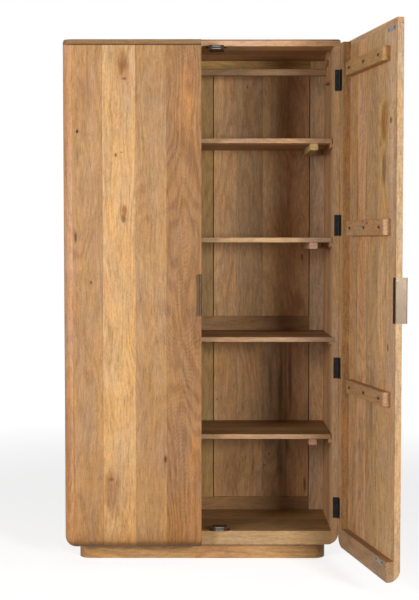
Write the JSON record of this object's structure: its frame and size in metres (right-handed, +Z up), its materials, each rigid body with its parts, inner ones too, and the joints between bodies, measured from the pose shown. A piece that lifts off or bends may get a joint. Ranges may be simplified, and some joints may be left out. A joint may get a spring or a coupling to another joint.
{
  "type": "cabinet",
  "caption": "Tall mango wood trastero storage cabinet with two plank doors on butt hinges, loose and fixed shelves, a clothes rail and a recessed plinth; one door shut, one standing open.",
  "frame": {"origin": "on the floor, under the middle of the case", "axes": "+X to the right seen from the front, +Y to the back, +Z up"},
  "size_m": [1.171, 0.8763, 1.9035],
  "materials": {
    "mango_wood": "satin",
    "mango_wood_inside": "satin",
    "hinge_black": "satin",
    "catch_plastic": "matte",
    "magnet": "satin",
    "strike_steel": "satin",
    "handle_brass": "satin"
  },
  "bodies": {
    "case": {"back_muntin_lower": "mango_wood_inside", "back_muntin_upper": "mango_wood_inside", "back_panel_lower_left": "mango_wood_inside", "back_panel_lower_right": "mango_wood_inside", "back_panel_upper_left": "mango_wood_inside", "back_panel_upper_right": "mango_wood_inside", "back_rail_bottom": "mango_wood_inside", "back_rail_mid": "mango_wood_inside", "back_rail_top": "mango_wood_inside", "back_stile_left": "mango_wood_inside", "back_stile_right": "mango_wood_inside", "base_strips": "mango_wood_inside", "catch_bodies_low": "catch_plastic", "catch_bodies_top": "catch_plastic", "catch_magnets": "magnet", "catch_poles": "strike_steel", "fixed_shelf": "mango_wood_inside", "floor_board": "mango_wood_inside", "front_sill": "mango_wood", "hanging_rail": "mango_wood_inside", "hinge_leaves_case_left": "hinge_black", "hinge_leaves_case_right": "hinge_black", "hinge_pins_left": "hinge_black", "hinge_pins_right": "hinge_black", "plinth_back": "mango_wood_inside", "plinth_brace": "mango_wood_inside", "plinth_front": "mango_wood", "plinth_left": "mango_wood", "plinth_right": "mango_wood", "rail_bracket_left": "mango_wood_inside", "rail_bracket_right": "mango_wood_inside", "shelf_battens_lower": "mango_wood_inside", "shelf_battens_top": "mango_wood_inside", "shelf_battens_upper": "mango_wood_inside", "shelf_cleats_left": "mango_wood_inside", "shelf_cleats_right": "mango_wood_inside", "shelf_lower": "mango_wood_inside", "shelf_top": "mango_wood_inside", "shelf_upper": "mango_wood_inside", "side_left": "mango_wood", "side_right": "mango_wood", "top_board": "mango_wood"},
    "left_door": {"door_battens_left": "mango_wood", "door_bottom_rail_left": "mango_wood", "door_cap_left": "mango_wood", "door_handle_left": "handle_brass", "door_staves_left": "mango_wood", "door_stile_left": "mango_wood", "hinge_leaves_door_left": "hinge_black", "strike_plates_left": "strike_steel"},
    "right_door": {"door_battens_right": "mango_wood", "door_bottom_rail_right": "mango_wood", "door_cap_right": "mango_wood", "door_handle_right": "handle_brass", "door_staves_right": "mango_wood", "door_stile_right": "mango_wood", "hinge_leaves_door_right": "hinge_black", "strike_plates_right": "strike_steel"}
  },
  "joints": [
    {"name": "left_door_hinge", "type": "hinge", "parent": "case", "child": "left_door", "pos_m": [-0.4966, -0.1983, 0.98], "axis": [0, 0, -1], "range_deg": [0, 105]},
    {"name": "right_door_hinge", "type": "hinge", "parent": "case", "child": "right_door", "pos_m": [0.4966, -0.1983, 0.98], "axis": [0, 0, 1], "range_deg": [-102.3, 2.7]}
  ]
}
